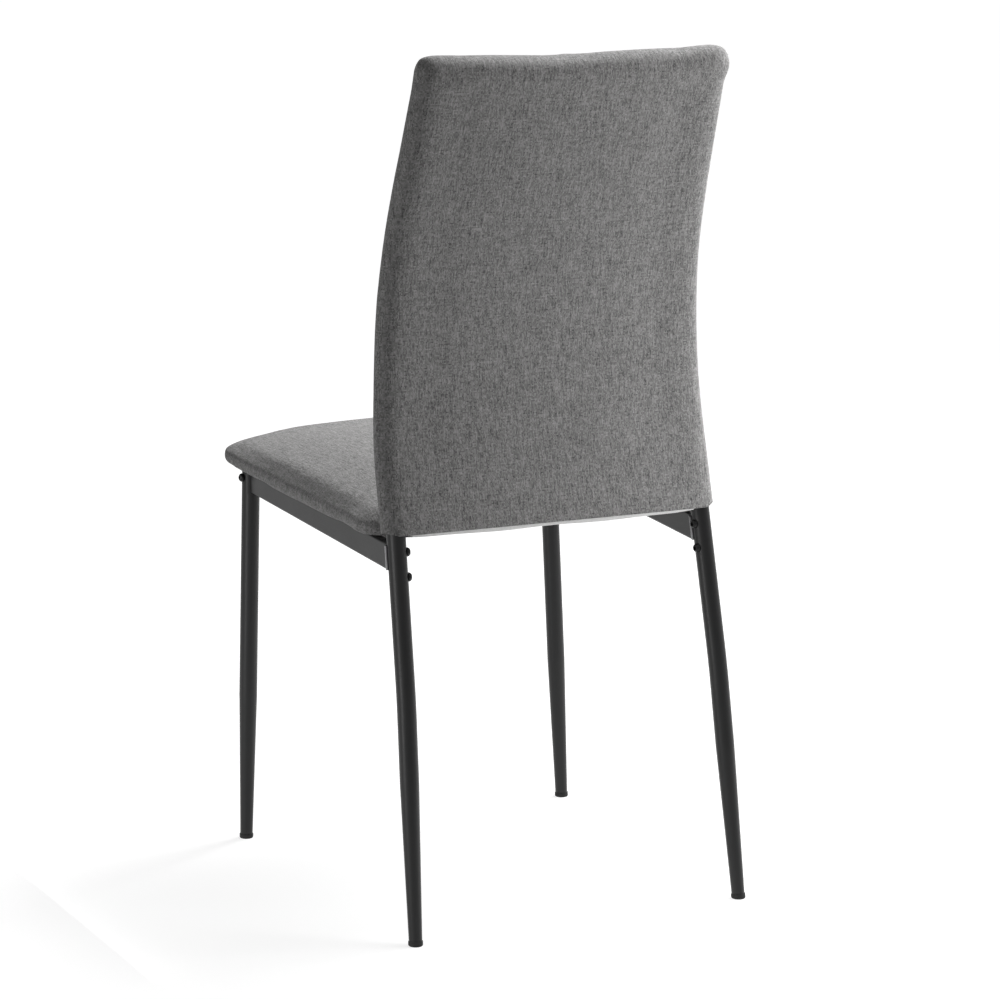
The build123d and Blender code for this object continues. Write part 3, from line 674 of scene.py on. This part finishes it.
# Seat: foam glued to the board under the same grey cloth, which is drawn over
# the edge and stapled underneath. It is crowned and rests on the rails.
seat_voxel = 0.005
seat_slack = 0.003
seat_reach = 0.007
seat_half_front = 0.206
seat_half_rear = 0.189
seat_bow = 0.005
front_corner_radius = 0.05
rear_corner_radius = 0.03


def is_hem_edge(face):
    """Cut edge of the hem under the seat: it faces the seat's middle and lies at its bottom."""
    centre = face.calc_center_median()
    inwards = (seat_middle - centre).dot(face.normal) > 0
    low = (centre - seat_bottom).dot(seat_up) < 0.003
    return inwards and low and abs(face.normal.dot(seat_up)) < 0.1


seat_low, seat_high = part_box("seat_cover")
seat_middle = (seat_low + seat_high) / 2
seat_bottom = min(
    (vert.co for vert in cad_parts["seat_cover"].data.vertices), key=lambda co: co.dot(seat_up)
).copy()
seat_pad = new_piece("seat_pad", outer_skin("seat_cover", is_hem_edge), grey_cloth)


def seat_side(co):
    """How far inside the seat's nearer side a point lies."""
    share = min(max((co.y - seat_low.y) / (seat_high.y - seat_low.y), 0.0), 1.0)
    half = seat_half_front + (seat_half_rear - seat_half_front) * share
    return half + seat_bow * math.sin(math.pi * share) - abs(co.x)


def seat_edge(co):
    """How far inside the seat's sides and front a point lies, with rounded corners."""
    side = seat_side(co)
    front = co.y - seat_low.y
    rear = seat_high.y - co.y
    for end, radius in ((front, front_corner_radius), (rear, rear_corner_radius)):
        if side < radius and end < radius:
            return radius - math.hypot(radius - side, radius - end)
    return min(side, front)


def seat_grip(co):
    """Where the board holds the seat's cloth: underneath and round the edge."""
    under = 1 - ease((co - seat_bottom).dot(seat_up), 0.004, 0.014)
    edge = 1 - ease(seat_edge(co), 0.012, 0.07)
    return max(under, edge)


pad_out(seat_pad, seat_voxel, seat_slack, seat_reach, seat_grip)

# Seat's own lines: the foam thins towards the edge, which is drawn to a soft nose with a lip over
# the rails, and the rear corners fill the space beside the back
nose_thinner = 0.002
side_thinner = 0.0055
wall_fuller = 0.004
welt_fuller = 0.0016
rear_rise = 0.0013
seat_lip = 0.0024
rear_corner_out = 0.006
rear_corner_back = 0.004

normals = [vert.normal.copy() for vert in seat_pad.data.vertices]
for vert, normal in zip(seat_pad.data.vertices, normals):
    height = (vert.co - seat_bottom).dot(seat_up)
    edge = seat_edge(vert.co)
    outwards = normal - seat_up * normal.dot(seat_up)
    rear_corner = ease(vert.co.y, seat_high.y - 0.05, seat_high.y - 0.012)
    rear_corner *= ease(abs(vert.co.x), 0.14, 0.178)
    thinner = nose_thinner + side_thinner * (1 - ease(seat_side(vert.co), 0.01, 0.1))
    vert.co -= seat_up * thinner * (1 - ease(edge, 0.0, 0.08)) * ease(height, 0.01, 0.032)
    front_corner = 1 - ease(vert.co.y, seat_low.y + 0.01, seat_low.y + 0.07)
    fuller = wall_fuller * (1 - ease(height, 0.014, 0.036)) + welt_fuller * bump(height, 0.01, 0.009)
    fuller *= 1 - 0.2 * front_corner
    vert.co += seat_up * rear_rise * ease(height, 0.02, 0.036) * ease(vert.co.y, -0.12, 0.1)
    vert.co += outwards * fuller * (1 - ease(edge, 0.0, 0.03))
    vert.co -= seat_up * seat_lip * (1 - ease(edge, 0.002, 0.01)) * (1 - ease(height, 0.005, 0.016))
    vert.co += Vector((math.copysign(rear_corner_out, vert.co.x), rear_corner_back, 0)) * rear_corner
finish_pad(seat_pad)
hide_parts("seat_cover", "seat_foam")


# Underside cloth: thin black non-woven, stretched over the hem and the board
# and held between them and the rails.
felt_black = (0.018, 0.018, 0.018)
felt_depth = 0.0004
cloth_sag = 0.002
cloth_thickness = 0.0005
cloth_strips = 20

felt, tree, shader = new_material("black_non_woven")
place = put(tree, "TexCoord").outputs["Object"]
fibres = put(tree, "TexNoise", Vector=place, Scale=600.0, Detail=4.0, Roughness=0.7)
speckle = calc(tree, "MULTIPLY_ADD", fibres.outputs["Fac"], 1.4, 0.3)
tree.links.new(scaled(tree, felt_black, speckle), shader.inputs["Base Color"])
shader.inputs["Roughness"].default_value = 0.95
set_bump(tree, shader, fibres.outputs["Fac"], 0.5, felt_depth)
cloth_form = bmesh.new()
cloth_form.from_mesh(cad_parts["seat_dust_cloth"].data)
bmesh.ops.remove_doubles(cloth_form, verts=cloth_form.verts, dist=1e-6)
others = [face for face in cloth_form.faces if face.normal.dot(seat_up) > -0.9]
bmesh.ops.delete(cloth_form, geom=others, context="FACES")
cloth_low, cloth_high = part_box("seat_dust_cloth")
for step in range(1, cloth_strips):
    spot = cloth_low + (cloth_high - cloth_low) * step / cloth_strips
    for way in (Vector((1, 0, 0)), Vector((0, 1, 0))):
        bmesh.ops.bisect_plane(
            cloth_form, geom=cloth_form.verts[:] + cloth_form.edges[:] + cloth_form.faces[:],
            plane_co=spot, plane_no=way,
        )
for vert in cloth_form.verts:
    deep = (vert.co.y - cloth_low.y) / (cloth_high.y - cloth_low.y)
    free = (1 - ease(abs(vert.co.x), 0.05, 0.14)) * math.sin(math.pi * deep)
    vert.co -= seat_up * cloth_sag * free
bmesh.ops.solidify(cloth_form, geom=cloth_form.faces[:], thickness=cloth_thickness)
bmesh.ops.recalc_face_normals(cloth_form, faces=cloth_form.faces)
underside_cloth = new_piece("underside_cloth", cloth_form, felt)
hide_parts("seat_dust_cloth")


# Studio: a plain pale floor and a white room, which the coat mirrors darker behind the
# camera and in front of the chair. Soft boxes stand to the right and to the left, and
# one lies low down and one hangs overhead.
floor_grey = (0.34, 0.34, 0.34, 1)
floor_half = 20.0
white = (1, 1, 1, 1)
room_light = 0.06
dark_ends = (((-0.19, 0.98, 0), 0.52), ((0.43, -0.9, 0), 0.34))


def ray_masks(tree):
    """Masks of the rays that the coat mirrors, and of all rays that show the room itself."""
    rays = put(tree, "LightPath").outputs
    glossy = rays["Is Glossy Ray"]
    mirrored = calc(tree, "MAXIMUM", glossy, rays["Is Transmission Ray"])
    return glossy, calc(tree, "MAXIMUM", rays["Is Camera Ray"], mirrored)


def dimmed(tree, strength, place, glossy, near, far):
    """Strength that falls, for mirrored rays, from near to far towards each dark end of the room."""
    for way, dark in dark_ends:
        towards = put(tree, "VectorMath", {"operation": "DOT_PRODUCT"}, Vector=place)
        towards.inputs[1].default_value = way
        gone = put(
            tree, "MapRange", Value=towards.outputs["Value"], From_Min=near, From_Max=far, To_Max=dark
        )
        kept = calc(tree, "SUBTRACT", 1.0, calc(tree, "MULTIPLY", glossy, gone.outputs[0]))
        strength = calc(tree, "MULTIPLY", strength, kept)
    return strength


floor_form = bmesh.new()
bmesh.ops.create_grid(floor_form, x_segments=1, y_segments=1, size=floor_half)
floor_mesh = bpy.data.meshes.new("studio_floor")
floor_form.to_mesh(floor_mesh)
floor_form.free()
floor = bpy.data.objects.new("studio_floor", floor_mesh)
bpy.context.scene.collection.objects.link(floor)
floor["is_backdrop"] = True
pale, tree, shader = new_material("pale_floor")
shader.inputs["Base Color"].default_value = floor_grey
shader.inputs["Roughness"].default_value = 0.9
shader.inputs["Specular IOR Level"].default_value = 0.0
glossy, seen = ray_masks(tree)
spot = put(tree, "TexCoord").outputs["Object"]
reach = put(tree, "VectorMath", {"operation": "LENGTH"}, Vector=spot)
fade = put(
    tree, "MapRange", Value=reach.outputs["Value"], From_Min=0.5, From_Max=1.8, To_Min=0.8, To_Max=1.0
)
strength = dimmed(tree, calc(tree, "MULTIPLY", seen, fade.outputs[0]), spot, glossy, near=0.8, far=1.8)
glow = put(tree, "Emission", Color=white, Strength=strength)
lit = put(tree, "AddShader")
tree.links.new(shader.outputs[0], lit.inputs[0])
tree.links.new(glow.outputs[0], lit.inputs[1])
tree.links.new(lit.outputs[0], tree.nodes["Material Output"].inputs["Surface"])
floor_mesh.materials.append(pale)

room = bpy.data.worlds.new("white_room")
room.use_nodes = True
tree = room.node_tree
tree.nodes.clear()
glossy, seen = ray_masks(tree)
aim = put(tree, "TexCoord").outputs["Generated"]
ambient = put(tree, "Background", Color=white, Strength=room_light)
strength = dimmed(tree, 1.0, aim, glossy, near=0.35, far=0.8)
backdrop = put(tree, "Background", Color=white, Strength=strength)
either = put(tree, "MixShader", Fac=seen)
tree.links.new(ambient.outputs[0], either.inputs[1])
tree.links.new(backdrop.outputs[0], either.inputs[2])
put(tree, "OutputWorld", Surface=either.outputs[0])
bpy.context.scene.world = room


def soft_box(name, place, aim, width, height, power, mirrored=True):
    """Rectangular soft box, turned towards a point; the coat mirrors it or not."""
    lamp = bpy.data.lights.new(name, "AREA")
    lamp.shape = "RECTANGLE"
    lamp.size = width
    lamp.size_y = height
    lamp.energy = power
    box = bpy.data.objects.new(name, lamp)
    box.location = place
    box.visible_camera = False
    box.visible_glossy = mirrored
    box.rotation_euler = (Vector(aim) - Vector(place)).to_track_quat("-Z", "Y").to_euler()
    bpy.context.scene.collection.objects.link(box)


soft_box(
    "key_box", (-0.82, 0.65, 0.75), (0, 0.2, 0.65), width=0.5, height=1.6, power=16, mirrored=False
)
soft_box("side_box", (1.9, 0.5, 0.7), (0.1, 0.1, 0.5), width=0.45, height=1.8, power=10)
soft_box(
    "low_box", (0.5, -0.02, 0.02), (0.21, -0.02, 0.42), width=0.5, height=0.25, power=1, mirrored=False
)
soft_box("top_box", (-1.25, -0.4, 1.95), (0, 0, 0.45), width=1.2, height=1.2, power=70)


# Camera: behind the chair and to its left, a little above the back's top, with
# a long lens that keeps the legs nearly upright.
camera_place = (1.6666, 3.5113, 1.1649)
look_down = math.radians(11.05)
look_round = math.radians(154.3)

lens = bpy.data.cameras.new("long_lens")
lens.sensor_width = 36.0
lens.lens = 131.73
camera = bpy.data.objects.new("camera", lens)
camera.location = camera_place
camera.rotation_euler = (math.pi / 2 - look_down, 0, look_round)
bpy.context.scene.collection.objects.link(camera)
bpy.context.scene.camera = camera
bpy.context.scene.view_settings.view_transform = "Standard"

corners = {"cad": cad_box, "visual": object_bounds()}
